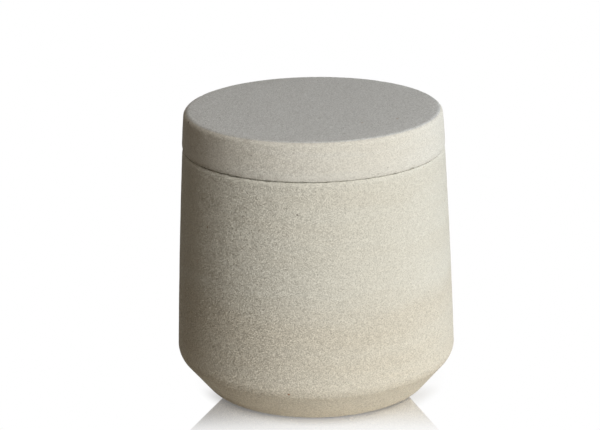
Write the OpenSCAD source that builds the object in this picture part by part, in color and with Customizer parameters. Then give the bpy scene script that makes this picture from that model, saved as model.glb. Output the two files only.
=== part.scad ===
// Lidded jar for cotton pads. The jar and the lid are turned from sandstone and share one gently
// swelling side. A plug under the lid drops into the mouth of the well and carries a soft ring,
// and four anti-slip pads are let into the base.
// Millimetres, +Z up. The origin is the centre of the footprint, on the surface the jar stands on.

/* [Outside] */
// Height of the stone jar without its lid
jar_h = 91.8; // [75:0.2:130]
// Widest diameter, where the side and the chamfer would meet in a sharp corner
body_d = 105; // [98:1:130]
// Diameter at the top of the lid, before its edge is rounded
top_d = 95.2; // [88:0.2:105]
// Diameter of the flat base, before its edge is rounded
base_d = 83.5; // [74:0.5:90]
// Height of the chamfer between the base and the widest diameter
chamfer_h = 13; // [8:0.5:20]
// How far the side swells outside a straight line
side_swell = 0.35; // [0:0.05:1]
// Rounding of the corner above the chamfer
corner_r = 7; // [3:0.5:10]
// Rounding of the edge round the base
base_edge_r = 2; // [0.6:0.2:4]
// Rounding of the edge round the top of the lid
top_edge_r = 2.4; // [0.8:0.2:4]

/* [Lid] */
// Height of the lid that shows above the jar
lid_h = 14.2; // [10:0.2:25]
// Rounding of the two outer edges that meet where the lid sits on the jar
joint_edge_r = 0.75; // [0.3:0.05:1.5]
// How far the plug reaches into the jar
plug_h = 8; // [7:0.5:14]
// Gap all round between the plug and the wall of the well
plug_gap = 0.8; // [0.4:0.1:1.5]
// Rounding of the lower edge of the plug
plug_edge_r = 1; // [0.4:0.1:2]

/* [Well] */
// Diameter of the well that holds the pads
well_d = 78; // [66:0.5:82]
// Thickness of the stone under the well
floor_t = 10; // [6:0.5:15]
// Rounding where the wall of the well meets its floor
well_corner_r = 6; // [2:0.5:10]
// Rounding of the inner edge of the mouth
mouth_edge_r = 1; // [0.4:0.1:2]

/* [Seal ring] */
// Thickness of the ring's round section
ring_t = 2.4; // [1.6:0.1:3]
// Gap between the ring and the wall of the well
ring_gap = 0.1; // [0.05:0.05:0.3]
// Depth of the middle of the ring below the top of the jar
ring_drop = 4; // [2.8:0.1:4.5]
// Clearance between the ring and the floor of its groove
groove_gap = 0.05; // [0.02:0.01:0.1]
// Spare height of the groove, above and below the ring
groove_spare = 0.15; // [0.05:0.05:0.4]

/* [Foot pads] */
// Number of pads under the base
pad_count = 4; // [3:1:6]
// Diameter of one pad
pad_d = 10; // [7:0.5:12]
// Thickness of one pad
pad_t = 1.6; // [1:0.1:3]
// How far a pad stands out below the stone
pad_proud = 0.4; // [0.2:0.1:0.8]
// Rounding of the lower edge of a pad
pad_edge_r = 0.3; // [0.1:0.05:0.5]
// Distance of the pads' centres in from the edge of the base
pad_inset = 12; // [10:0.5:18]
// Gap all round between a pad and its recess
pad_gap = 0.25; // [0.1:0.05:0.5]

/* [Hidden] */
// Straight steps that one rounded edge is drawn with
edge_steps = 8;
// Straight steps that the swelling side of one piece is drawn with
side_steps = 10;
// Distance that the points of the side keep from a corner, in roundings of that corner
corner_room = 2;
// Facets round every turned shape
$fn = 160;

stone_z = pad_proud;
corner_z = stone_z + chamfer_h;
joint_z = stone_z + jar_h;
top_z = joint_z + lid_h;
floor_z = stone_z + floor_t;
well_r = well_d / 2;
plug_r = well_r - plug_gap;
ring_z = joint_z - ring_drop;
ring_mid_r = well_r - ring_gap - ring_t / 2;
groove_r = ring_mid_r - ring_t / 2 - groove_gap;
groove_h = ring_t + 2 * groove_spare;
pad_circle_r = base_d / 2 - pad_inset;
// The first pad's turn from +X, so that the pads stand on the diagonals
pad_turn = 180 / pad_count;

stone_colour = [0.80, 0.77, 0.70];
ring_colour = [0.86, 0.87, 0.86];
pad_colour = [0.72, 0.74, 0.74];

PADS = [for (i = [1:pad_count]) str("foot_pad_", i)];

// Radius of the outside at a height: a straight taper with a shallow parabola laid on it.
function side_r(z) =
    let (t = (z - corner_z) / (top_z - corner_z))
    body_d / 2 * (1 - t) + top_d / 2 * t + 4 * side_swell * t * (1 - t);

// Outline points up the side from one height to another, none of them rounded.
function side_points(from_z, to_z) =
    [for (i = [0:side_steps])
        let (z = from_z + (to_z - from_z) * i / side_steps)
        [side_r(z), z, 0]];

function unit(v) = v / norm(v);

// Points of the arc that replaces corner b of an outline that runs from a through b to c.
function corner_arc(a, b, c, r) =
    let (to_a = unit(a - b),
         to_c = unit(c - b),
         half = acos(to_a * to_c) / 2,
         centre = b + unit(to_a + to_c) * r / sin(half),
         start = b + to_a * r / tan(half) - centre,
         end = b + to_c * r / tan(half) - centre,
         sweep = 180 - 2 * half)
    [for (i = [0:edge_steps])
        let (t = i / edge_steps)
        centre + (start * sin(sweep * (1 - t)) + end * sin(sweep * t)) / sin(sweep)];

// An outline from corners written as [radius, height, rounding].
function rounded(corners) =
    let (n = len(corners), at = [for (c = corners) [c.x, c.y]])
    [for (i = [0:n - 1])
        each corners[i].z == 0
            ? [at[i]]
            : corner_arc(at[(i + n - 1) % n], at[i], at[(i + 1) % n], corners[i].z)];

module turned(corners) {
    rotate_extrude() polygon(rounded(corners));
}

// Places its children at each pad's centre, at the height of the standing surface.
module at_pad(i) {
    rotate(pad_turn + i * 360 / pad_count) translate([pad_circle_r, 0, 0]) children();
}

module jar_body() {
    color(stone_colour)
    difference() {
        turned(concat(
            [[0, stone_z, 0],
             [base_d / 2, stone_z, base_edge_r],
             [body_d / 2, corner_z, corner_r]],
            side_points(corner_z + corner_room * corner_r, joint_z - corner_room * joint_edge_r),
            [[side_r(joint_z), joint_z, joint_edge_r],
             [well_r, joint_z, mouth_edge_r],
             [well_r, floor_z, well_corner_r],
             [0, floor_z, 0]]));
        for (i = [0:pad_count - 1]) at_pad(i) pad_recess();
    }
}

// The space for one pad, open below the stone.
module pad_recess() {
    cylinder(d = pad_d + 2 * pad_gap, h = pad_t);
}

module lid() {
    color(stone_colour)
    turned(concat(
        [[0, joint_z - plug_h, 0],
         [plug_r, joint_z - plug_h, plug_edge_r],
         [plug_r, ring_z - groove_h / 2, 0],
         [groove_r, ring_z - groove_h / 2, 0],
         [groove_r, ring_z + groove_h / 2, 0],
         [plug_r, ring_z + groove_h / 2, 0],
         [plug_r, joint_z, 0],
         [side_r(joint_z), joint_z, joint_edge_r]],
        side_points(joint_z + corner_room * joint_edge_r, top_z - corner_room * top_edge_r),
        [[top_d / 2, top_z, top_edge_r],
         [0, top_z, 0]]));
}

module lid_seal_ring() {
    color(ring_colour)
    translate([0, 0, ring_z])
    rotate_extrude() translate([ring_mid_r, 0]) circle(d = ring_t, $fn = 48);
}

module foot_pad(i) {
    color(pad_colour)
    at_pad(i) turned([[0, 0, 0], [pad_d / 2, 0, pad_edge_r], [pad_d / 2, pad_t, 0], [0, pad_t, 0]]);
}

jar_body();
lid();
lid_seal_ring();
for (i = [0:pad_count - 1]) foot_pad(i);
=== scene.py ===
"""Looks of a turned sandstone jar with a lift-off lid, made for cotton pads.

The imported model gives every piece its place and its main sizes. This script turns finer stone,
silicone and pad meshes in the same places, dresses them in procedural materials, and sets up a
white studio with the camera at the photograph's angle. Lengths are in metres, +Z is up.
"""

import logging
import math
from collections.abc import Callable
from dataclasses import dataclass
from enum import Enum

import bmesh
import bpy
from mathutils import Matrix, Vector


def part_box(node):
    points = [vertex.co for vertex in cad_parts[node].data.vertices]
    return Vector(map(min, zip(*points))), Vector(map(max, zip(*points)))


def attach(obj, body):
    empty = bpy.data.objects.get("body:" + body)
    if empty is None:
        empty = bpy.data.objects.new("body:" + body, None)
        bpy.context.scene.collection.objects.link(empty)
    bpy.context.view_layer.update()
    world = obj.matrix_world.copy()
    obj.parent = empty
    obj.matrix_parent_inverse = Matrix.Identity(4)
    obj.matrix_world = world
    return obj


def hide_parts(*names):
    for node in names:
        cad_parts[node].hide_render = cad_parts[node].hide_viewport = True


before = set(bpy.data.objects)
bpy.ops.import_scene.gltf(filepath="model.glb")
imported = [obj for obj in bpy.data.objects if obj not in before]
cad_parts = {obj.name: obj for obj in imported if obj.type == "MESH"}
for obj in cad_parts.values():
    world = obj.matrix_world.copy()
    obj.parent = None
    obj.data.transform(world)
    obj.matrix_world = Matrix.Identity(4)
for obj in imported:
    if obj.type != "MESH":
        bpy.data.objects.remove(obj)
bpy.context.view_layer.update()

log = logging.getLogger("cotton_pad_jar")

Piece = bpy.types.Object
Socket = bpy.types.NodeSocket
Colour = tuple[float, float, float, float]
Radius = Callable[[float], float]
Test = Callable[[Vector, Vector], bool]

MM = 0.001
FULL_TURN = 2 * math.pi
WHITE = (1.0, 1.0, 1.0, 1.0)
# The bluish light of the lamp on the right
COOL = (0.81, 0.89, 1.0)
# Height of the chamfer at the foot of the jar
CHAMFER_HEIGHT = 13 * MM
# Gap all round between a foot pad and its recess
PAD_GAP = 0.25 * MM
# How far below the lid's top the painted cooler colour of its top face ends, in millimetres
TOP_FACE_DEPTH = 0.35
# Edges sharper than this angle stay sharp on stone and on the ring
STONE_CREASE = math.radians(40)
# The same on the foot pads
PAD_CREASE = math.radians(30)


class Body(Enum):
    """The moving bodies that pieces ride on."""

    JAR = "jar"
    RING = "ring"
    LID = "lid"


class Slot(Enum):
    """The record's material slots."""

    SANDSTONE = "sandstone"
    SILICONE = "silicone"
    FOOT_PAD = "foot_pad"


class StoneFace(Enum):
    """Which finish a face of stone has, as an index into the piece's materials."""

    HONED = 0
    TURNED = 1


# Mesh work, as done by hand in edit mode


def deselect_everything() -> None:
    """Clears the selection, so that an operator acts only on what comes next."""
    bpy.ops.object.select_all(action="DESELECT")


def make_active(piece: Piece) -> None:
    """Selects one object alone and makes it the active one.

    Args:
        piece: The object.
    """
    deselect_everything()
    piece.select_set(True)
    bpy.context.view_layer.objects.active = piece


def apply_place(piece: Piece) -> None:
    """Moves an object's place into its mesh, so that the object sits at the origin."""
    make_active(piece)
    bpy.ops.object.transform_apply(location=True, rotation=True, scale=True)


def select_edges(piece: Piece, wanted: Test) -> None:
    """Selects edges in edit mode by the places of their two ends.

    Args:
        piece: The object in edit mode.
        wanted: Says from an edge's two ends whether it is selected.
    """
    bpy.ops.mesh.select_mode(type="EDGE")
    bpy.ops.mesh.select_all(action="DESELECT")
    mesh = bmesh.from_edit_mesh(piece.data)
    for edge in mesh.edges:
        if wanted(edge.verts[0].co, edge.verts[1].co):
            edge.select_set(True)
    bmesh.update_edit_mesh(piece.data)


def select_faces(piece: Piece, wanted: Test) -> None:
    """Selects faces in edit mode by centre and normal.

    Args:
        piece: The object in edit mode.
        wanted: Says from a face's centre and normal whether it is selected.
    """
    bpy.ops.mesh.select_mode(type="FACE")
    bpy.ops.mesh.select_all(action="DESELECT")
    mesh = bmesh.from_edit_mesh(piece.data)
    for face in mesh.faces:
        if wanted(face.calc_center_median(), face.normal):
            face.select_set(True)
    bmesh.update_edit_mesh(piece.data)


def radius_of(place: Vector) -> float:
    """Distance of a place from the turning axis."""
    return math.hypot(place.x, place.y)


def finish_shading(piece: Piece, angle: float) -> None:
    """Shades a piece smooth, apart from edges sharper than an angle in radians."""
    make_active(piece)
    bpy.ops.object.shade_smooth_by_angle(angle=angle)


@dataclass(frozen=True)
class Ring:
    """One ring of a turned outline.

    Attributes:
        radius: Distance from the turning axis.
        height: Height above the standing surface.
        rounding: Radius of the arc that rounds the outline here, or 0.
        facets: Straight steps in that arc.
    """

    radius: float
    height: float
    rounding: float = 0.0
    facets: int = 6


def between(start: float, end: float, step: float) -> list[float]:
    """Gives even places between two ends, both left out.

    Args:
        start: Where the stretch begins.
        end: Where it ends.
        step: Greatest distance between two places.

    Returns:
        The places, in order from start to end.
    """
    count = max(1, math.ceil(abs(end - start) / step))
    return [start + (end - start) * i / count for i in range(1, count)]


def level_rings(start: float, end: float, step: float, radius_at: Radius) -> list[Ring]:
    """Gives rings up or down a wall, between two heights, with the radius at each height."""
    return [Ring(radius_at(height), height) for height in between(start, end, step)]


def flat_rings(start: float, end: float, step: float, height: float) -> list[Ring]:
    """Gives rings across a level face, between two radii."""
    return [Ring(radius, height) for radius in between(start, end, step)]


class Lathe:
    """Turns a closed piece: draws half its section beside the axis, and spins that round."""

    MERGE_DISTANCE = 0.0005 * MM

    def __init__(self, name: str, around: int) -> None:
        """Notes the piece's name and how many sides a ring has."""
        self.name = name
        self.around = around

    def turn(self, outline: list[Ring]) -> Piece:
        """Makes the piece.

        Args:
            outline: Its rings. The first and the last lie on the axis, where the piece closes.

        Returns:
            The finished object, at the origin.
        """
        piece = self._start(outline[0])
        for before, ring in zip(outline, outline[1:]):
            step = (ring.radius - before.radius, 0, ring.height - before.height)
            bpy.ops.mesh.extrude_vertices_move(TRANSFORM_OT_translate={"value": step})
        for before, ring, after in zip(outline, outline[1:], outline[2:]):
            if ring.rounding:
                self._round(piece, before, ring, after)
        bpy.ops.object.mode_set(mode="OBJECT")
        bpy.ops.object.modifier_add(type="SCREW")
        screw = piece.modifiers[-1]
        screw.axis = "Z"
        screw.angle = FULL_TURN
        screw.steps = screw.render_steps = self.around
        screw.use_merge_vertices = True
        screw.merge_threshold = self.MERGE_DISTANCE
        bpy.ops.object.modifier_apply(modifier=screw.name)
        bpy.ops.object.mode_set(mode="EDIT")
        bpy.ops.mesh.select_all(action="SELECT")
        bpy.ops.mesh.remove_doubles(threshold=self.MERGE_DISTANCE)
        bpy.ops.mesh.normals_make_consistent(inside=False)
        bpy.ops.object.mode_set(mode="OBJECT")
        return piece

    def _start(self, first: Ring) -> Piece:
        """Adds the object, in edit mode, with one selected vertex where the outline starts.

        Args:
            first: Where the outline starts.

        Returns:
            The new object.
        """
        deselect_everything()
        bpy.ops.mesh.primitive_circle_add(vertices=3, radius=MM, fill_type="NOTHING")
        piece = bpy.context.object
        piece.name = piece.data.name = self.name
        bpy.ops.object.mode_set(mode="EDIT")
        bpy.ops.mesh.select_mode(type="VERT")
        bpy.ops.mesh.select_all(action="SELECT")
        bpy.ops.mesh.merge(type="CENTER")
        bpy.ops.mesh.select_all(action="SELECT")
        bpy.ops.transform.translate(value=(first.radius, 0, first.height))
        return piece

    def _round(self, piece: Piece, before: Ring, ring: Ring, after: Ring) -> None:
        """Bevels one corner of the outline into an arc of its rounding.

        Args:
            piece: The object, in edit mode.
            before: The ring before the corner.
            ring: The corner.
            after: The ring after the corner.
        """
        incoming = Vector((ring.radius - before.radius, ring.height - before.height))
        outgoing = Vector((after.radius - ring.radius, after.height - ring.height))
        corner = Vector((ring.radius, 0, ring.height))
        bpy.ops.mesh.select_all(action="DESELECT")
        mesh = bmesh.from_edit_mesh(piece.data)
        for vertex in mesh.verts:
            vertex.select_set((vertex.co - corner).length < self.MERGE_DISTANCE)
        bmesh.update_edit_mesh(piece.data)
        bpy.ops.mesh.bevel(
            offset_type="OFFSET",
            offset=ring.rounding * math.tan(incoming.angle(outgoing) / 2),
            segments=ring.facets,
            profile=0.5,
            affect="VERTICES",
            clamp_overlap=False,
        )


@dataclass(frozen=True)
class Relief:
    """Unevenness that is pressed into a stone surface, against its normals.

    Attributes:
        name: What it is, such as chips.
        lump: Size of its lumps.
        depth: Greatest depth.
        zone: Gives the weight, from 0 to 1, that it has at a place on the piece.
        flat_share: Share of the noise's range that leaves the surface flat, from 0 to 1.
        middle: Share of the depth that stays outside the surface, as bumps.
    """

    name: str
    lump: float
    depth: float
    zone: Callable[[Vector], float]
    flat_share: float = 0.0
    middle: float = 0.0

    def press_into(self, piece: Piece) -> None:
        """Displaces the vertices, and leaves no modifier or vertex group behind.

        Args:
            piece: The piece of stone.
        """
        group = piece.vertex_groups.new(name=self.name)
        for vertex in piece.data.vertices:
            weight = self.zone(vertex.co)
            if weight > 0:
                group.add([vertex.index], min(weight, 1.0), "REPLACE")
        texture = bpy.data.textures.new(f"{piece.name}_{self.name}", "CLOUDS")
        texture.noise_scale = self.lump
        texture.use_color_ramp = True
        texture.color_ramp.elements[0].position = self.flat_share
        make_active(piece)
        bpy.ops.object.modifier_add(type="DISPLACE")
        displace = piece.modifiers[-1]
        displace.texture = texture
        displace.texture_coords = "LOCAL"
        displace.vertex_group = group.name
        displace.mid_level = self.middle
        displace.strength = -self.depth
        bpy.ops.object.modifier_apply(modifier=displace.name)
        piece.vertex_groups.remove(piece.vertex_groups[self.name])


# Materials, as node trees


class Graph:
    """Adds the nodes of one tree and wires them."""

    COLOUR_FACTOR, COLOUR_A, COLOUR_B, COLOUR_OUT = 0, 6, 7, 2

    def __init__(self, tree: bpy.types.NodeTree) -> None:
        """Keeps the tree that the nodes go into."""
        self.tree = tree

    def node(self, kind: str, feeds: dict | None = None, **settings: object) -> bpy.types.Node:
        """Adds a node.

        Args:
            kind: Blender's name for the kind of node.
            feeds: For each input, by name or place, the output that feeds it or its plain value.
            settings: The node's own settings, set before its inputs.

        Returns:
            The new node.
        """
        node = self.tree.nodes.new(kind)
        for name, value in settings.items():
            setattr(node, name, value)
        self.feed(node, feeds or {})
        return node

    def feed(self, node: bpy.types.Node, feeds: dict) -> None:
        """Feeds inputs of a node.

        Args:
            node: The node.
            feeds: For each input, by name or place, the output that feeds it or its plain value.
        """
        for name, value in feeds.items():
            if isinstance(value, Socket):
                self.tree.links.new(value, node.inputs[name])
            else:
                node.inputs[name].default_value = value

    def math(self, operation: str, *values: object) -> Socket:
        """Adds a Math node and returns its result."""
        return self.node("ShaderNodeMath", dict(enumerate(values)), operation=operation).outputs[0]

    def vectors(self, operation: str, feeds: dict, output: int | str = 0) -> Socket:
        """Adds a Vector Math node and returns one of its outputs."""
        return self.node("ShaderNodeVectorMath", feeds, operation=operation).outputs[output]

    def scaled(self, vector: object, factors: tuple[float, float, float]) -> Socket:
        """Multiplies a vector by three factors and returns the result."""
        return self.vectors("MULTIPLY", {0: vector, 1: factors})

    def over(self, vector: object, size: object) -> Socket:
        """Divides a vector by one size and returns the result."""
        return self.vectors("SCALE", {0: vector, "Scale": self.math("DIVIDE", 1.0, size)})

    def distance(self, place: object, centre: object) -> Socket:
        """Returns the distance between two places."""
        return self.vectors("DISTANCE", {0: place, 1: centre}, "Value")

    def along(self, vector: object) -> bpy.types.bpy_prop_collection:
        """Splits a vector, and returns its shares along X, Y and Z under those names."""
        return self.node("ShaderNodeSeparateXYZ", {0: vector}).outputs

    def channels(self, colour: object) -> bpy.types.bpy_prop_collection:
        """Splits a colour, and returns its red, green and blue in that order."""
        return self.node("ShaderNodeSeparateColor", {"Color": colour}).outputs

    def cells(self, vector: object) -> bpy.types.bpy_prop_collection:
        """Adds cells of size 1, and returns the distance to a cell's middle and its random colour."""
        return self.node("ShaderNodeTexVoronoi", {"Vector": vector, "Scale": 1.0}).outputs

    def noise(self, vector: object, scale: float, detail: float) -> Socket:
        """Adds a soft noise and returns its value."""
        feeds = {"Vector": vector, "Scale": scale, "Detail": detail}
        return self.node("ShaderNodeTexNoise", feeds).outputs["Fac"]

    def mixed(self, share: object, low: object, high: object) -> Socket:
        """Mixes two shaders, the second by its share, and returns the result."""
        return self.node("ShaderNodeMixShader", {0: share, 1: low, 2: high}).outputs[0]

    def blend(self, factor: object, low: object, high: object, kind: str = "MIX") -> Socket:
        """Blends two colours.

        Args:
            factor: 0 for the first colour, 1 for the second.
            low: The first colour.
            high: The second colour.
            kind: How they blend.

        Returns:
            The blended colour.
        """
        feeds = {self.COLOUR_FACTOR: factor, self.COLOUR_A: low, self.COLOUR_B: high}
        node = self.node("ShaderNodeMix", feeds, data_type="RGBA", blend_type=kind)
        return node.outputs[self.COLOUR_OUT]

    def ramp(self, value: object, start: object, end: object) -> Socket:
        """Rises smoothly from 0 to 1 while a value goes from start to end, and returns that."""
        feeds = {"Value": value, "From Min": start, "From Max": end}
        return self.node("ShaderNodeMapRange", feeds, interpolation_type="SMOOTHSTEP").outputs[0]


class Effect(Enum):
    """The node groups that several finishes share."""

    GRAIN = "stone_grain"
    FACETS = "grain_facets"
    BEDDING = "stone_bedding"
    SPECKLE = "mineral_speckle"
    TURNING = "turning_marks"
    MOULDED = "moulded_skin"


class EffectLibrary:
    """Builds each shared node group once, when a finish first asks for it."""

    # Names of the inputs and outputs that are vectors
    VECTORS = ("Place", "Normal")

    def group(self, effect: Effect) -> bpy.types.NodeTree:
        """Gives an effect's node group, built if it isn't there yet.

        Args:
            effect: Which effect.

        Returns:
            Its node group.
        """
        found = bpy.data.node_groups.get(effect.value)
        if found:
            return found
        makers = {
            Effect.GRAIN: self._grain,
            Effect.FACETS: self._facets,
            Effect.BEDDING: self._bedding,
            Effect.SPECKLE: self._speckle,
            Effect.TURNING: self._turning,
            Effect.MOULDED: self._moulded,
        }
        return makers[effect](effect.value)

    def place(self, graph: Graph, effect: Effect, feeds: dict) -> bpy.types.Node:
        """Puts an effect into a material's tree, with that material's own values."""
        return graph.node("ShaderNodeGroup", feeds, node_tree=self.group(effect))

    def _new(self, name: str, inputs: list[str], outputs: list[str]) -> tuple:
        """Makes a group without nodes. Places and normals are vectors, and the rest are values.

        Args:
            name: The group's name.
            inputs: The names of its inputs.
            outputs: The names of its outputs.

        Returns:
            The group's graph, and the outputs of its input node.
        """
        tree = bpy.data.node_groups.new(name, "ShaderNodeTree")
        for direction, sockets in (("INPUT", inputs), ("OUTPUT", outputs)):
            for socket in sockets:
                kind = "NodeSocketVector" if socket in self.VECTORS else "NodeSocketFloat"
                tree.interface.new_socket(name=socket, in_out=direction, socket_type=kind)
        graph = Graph(tree)
        return graph, graph.node("NodeGroupInput").outputs

    def _grain(self, name: str) -> bpy.types.NodeTree:
        """Packed mineral grains: a tone and a tint for each grain, and the grains' relief.

        Args:
            name: The group's name.

        Returns:
            The group.
        """
        inputs = ["Place", "Grain size"]
        graph, given = self._new(name, inputs, ["Tone", "Tint", "Relief"])
        at_grain = graph.over(given["Place"], given["Grain size"])
        grains = graph.cells(at_grain)
        random = graph.channels(grains["Color"])
        clumped = graph.math("MULTIPLY_ADD", graph.noise(at_grain, 0.25, 1.0), 0.1, -0.05)
        powder = graph.math("MULTIPLY_ADD", graph.noise(at_grain, 1.3, 2.0), 0.4, clumped)
        tone = graph.math("MULTIPLY_ADD", random[0], 0.9, graph.math("SUBTRACT", powder, 0.15))
        dome = graph.math("SUBTRACT", 1.0, graph.math("POWER", grains["Distance"], 2.0))
        domed = graph.math("MULTIPLY_ADD", dome, 0.5, powder)
        relief = graph.math("MULTIPLY_ADD", random[2], 0.6, domed)
        graph.node("NodeGroupOutput", {"Tone": tone, "Tint": random[1], "Relief": relief})
        return graph.tree

    def _facets(self, name: str) -> bpy.types.NodeTree:
        """A normal that leans another way on every grain, as the broken faces of sand grains do.

        Args:
            name: The group's name.

        Returns:
            The group.
        """
        inputs = ["Place", "Normal", "Grain size", "Lean"]
        graph, given = self._new(name, inputs, ["Normal"])
        at_grain = graph.over(given["Place"], given["Grain size"])
        feeds = {0: graph.cells(at_grain)["Color"], 1: (0.5, 0.5, 0.5)}
        turn = graph.vectors("SUBTRACT", feeds)
        lean = graph.vectors("SCALE", {0: turn, "Scale": given["Lean"]})
        leaning = graph.vectors("ADD", {0: given["Normal"], 1: lean})
        graph.node("NodeGroupOutput", {"Normal": graph.vectors("NORMALIZE", {0: leaning})})
        return graph.tree

    def _bedding(self, name: str) -> bpy.types.NodeTree:
        """Flat beds that the stone was laid down in, with a gentle roll to them.

        Args:
            name: The group's name.

        Returns:
            The group.
        """
        inputs = ["Place", "Thickness", "Roll"]
        graph, given = self._new(name, inputs, ["Band", "Level"])
        place = given["Place"]
        waves = graph.math("SUBTRACT", graph.noise(place, 0.03, 1.0), 0.5)
        rise = graph.math("MULTIPLY", waves, given["Roll"])
        level = graph.math("ADD", graph.along(place)["Z"], rise)
        across = graph.scaled(place, (0.015, 0.015, 0.0))
        bed = graph.math("DIVIDE", level, given["Thickness"])
        depth = graph.node("ShaderNodeCombineXYZ", {"Z": bed}).outputs[0]
        where = graph.vectors("ADD", {0: across, 1: depth})
        band = graph.ramp(graph.noise(where, 1.0, 3.0), 0.34, 0.66)
        graph.node("NodeGroupOutput", {"Band": band, "Level": level})
        return graph.tree

    def _speckle(self, name: str) -> bpy.types.NodeTree:
        """Scattered single grains of another mineral: 1 on a speck, 0 elsewhere.

        Args:
            name: The group's name.

        Returns:
            The group.
        """
        inputs = ["Place", "Spacing", "Share", "Size"]
        graph, given = self._new(name, inputs, ["Speck"])
        cells = graph.cells(graph.over(given["Place"], given["Spacing"]))
        random = graph.channels(cells["Color"])
        chosen = graph.math("LESS_THAN", random[0], given["Share"])
        reach = graph.math("MULTIPLY", given["Size"], graph.math("MULTIPLY_ADD", random[1], 0.7, 0.3))
        inside = graph.ramp(cells["Distance"], reach, graph.math("MULTIPLY", reach, 0.5))
        graph.node("NodeGroupOutput", {"Speck": graph.math("MULTIPLY", chosen, inside)})
        return graph.tree

    def _turning(self, name: str) -> bpy.types.NodeTree:
        """The fine rings that a turning tool leaves, up a wall and across a flat face alike.

        Args:
            name: The group's name.

        Returns:
            The group.
        """
        graph, given = self._new(name, ["Place", "Pitch"], ["Relief"])
        parts = graph.along(given["Place"])
        flat = graph.node("ShaderNodeCombineXYZ", {"X": parts["X"], "Y": parts["Y"]}).outputs[0]
        radius = graph.vectors("LENGTH", {0: flat}, "Value")
        travel = graph.math("DIVIDE", graph.math("ADD", radius, parts["Z"]), given["Pitch"])
        tool = graph.math("SINE", graph.math("MULTIPLY", travel, FULL_TURN))
        feeds = {"W": travel, "Scale": 0.7, "Detail": 2.0}
        drift = graph.node("ShaderNodeTexNoise", feeds, noise_dimensions="1D")
        relief = graph.math("MULTIPLY_ADD", tool, 0.35, drift.outputs["Fac"])
        graph.node("NodeGroupOutput", {"Relief": relief})
        return graph.tree

    def _moulded(self, name: str) -> bpy.types.NodeTree:
        """The skin of a moulded soft part: a fine matt texture, and dust that settles unevenly.

        Args:
            name: The group's name.

        Returns:
            The group.
        """
        inputs = ["Place", "Texture size"]
        graph, given = self._new(name, inputs, ["Dust", "Relief"])
        at_skin = graph.over(given["Place"], given["Texture size"])
        dust = graph.ramp(graph.noise(given["Place"], 0.35, 4.0), 0.45, 0.75)
        feeds = {"Dust": dust, "Relief": graph.noise(at_skin, 1.0, 2.0)}
        graph.node("NodeGroupOutput", feeds)
        return graph.tree


EFFECTS = EffectLibrary()


def linear(red: int, green: int, blue: int) -> Colour:
    """Turns a screen colour into the linear colour that a node takes.

    Args:
        red: Its red, from 0 to 255.
        green: Its green.
        blue: Its blue.

    Returns:
        The linear colour, opaque.
    """

    def channel(value: int) -> float:
        """Turns one channel into its linear value."""
        share = value / 255
        return share / 12.92 if share <= 0.04045 else ((share + 0.055) / 1.055) ** 2.4

    return channel(red), channel(green), channel(blue), 1.0


def new_material(name: str) -> tuple[bpy.types.Material, Graph, bpy.types.Node, Socket]:
    """Starts a material.

    Args:
        name: The material's name.

    Returns:
        The material, its graph, its Principled BSDF, and the place on the object in millimetres.
    """
    material = bpy.data.materials.new(name)
    material.use_nodes = True
    graph = Graph(material.node_tree)
    shader = material.node_tree.nodes["Principled BSDF"]
    place = graph.node("ShaderNodeTexCoord").outputs["Object"]
    return material, graph, shader, graph.scaled(place, (1 / MM, 1 / MM, 1 / MM))


@dataclass(frozen=True)
class Mark:
    """A single spot that stands out on the stone: a coloured grain, or painted shade for a small pit.
    Sizes are in millimetres.

    Attributes:
        azimuth: Its turn from the front towards the right, in degrees.
        height: Its height above the standing surface.
        radius: Its distance from the turning axis.
        size: Its radius.
        colour: Its colour.
    """

    azimuth: float
    height: float
    radius: float
    size: float
    colour: Colour

    # How far its colour shows at its middle
    STRENGTH = 0.85

    def place(self) -> tuple[float, float, float]:
        """Gives its place on the stone."""
        turn = math.radians(self.azimuth)
        return self.radius * math.sin(turn), -self.radius * math.cos(turn), self.height

    def over(self, graph: Graph, place: Socket, colour: Socket) -> Socket:
        """Lays the mark over a colour.

        Args:
            graph: The material's graph.
            place: The place on the object in millimetres.
            colour: The colour that it lies over.

        Returns:
            The colour with the mark on it.
        """
        inside = graph.ramp(graph.distance(place, self.place()), self.size * 1.2, self.size * 0.6)
        return graph.blend(graph.math("MULTIPLY", inside, self.STRENGTH), colour, self.colour)


@dataclass(frozen=True)
class Specks:
    """Scattered grains of another mineral. Sizes are in millimetres.

    Attributes:
        spacing: Distance between the places where one may be.
        share: Share of these places that have one.
        size: Greatest radius of one, as a share of the spacing.
        strength: How far its colour shows.
        colour: Its colour.
    """

    spacing: float
    share: float
    size: float
    strength: float
    colour: Colour

    def over(self, graph: Graph, place: Socket, colour: Socket) -> Socket:
        """Lays the specks over a colour.

        Args:
            graph: The material's graph.
            place: The place on the object in millimetres.
            colour: The colour that they lie over.

        Returns:
            The colour with the specks on it.
        """
        feeds = {"Place": place, "Spacing": self.spacing, "Share": self.share, "Size": self.size}
        speck = EFFECTS.place(graph, Effect.SPECKLE, feeds).outputs["Speck"]
        return graph.blend(graph.math("MULTIPLY", speck, self.strength), colour, self.colour)


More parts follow.
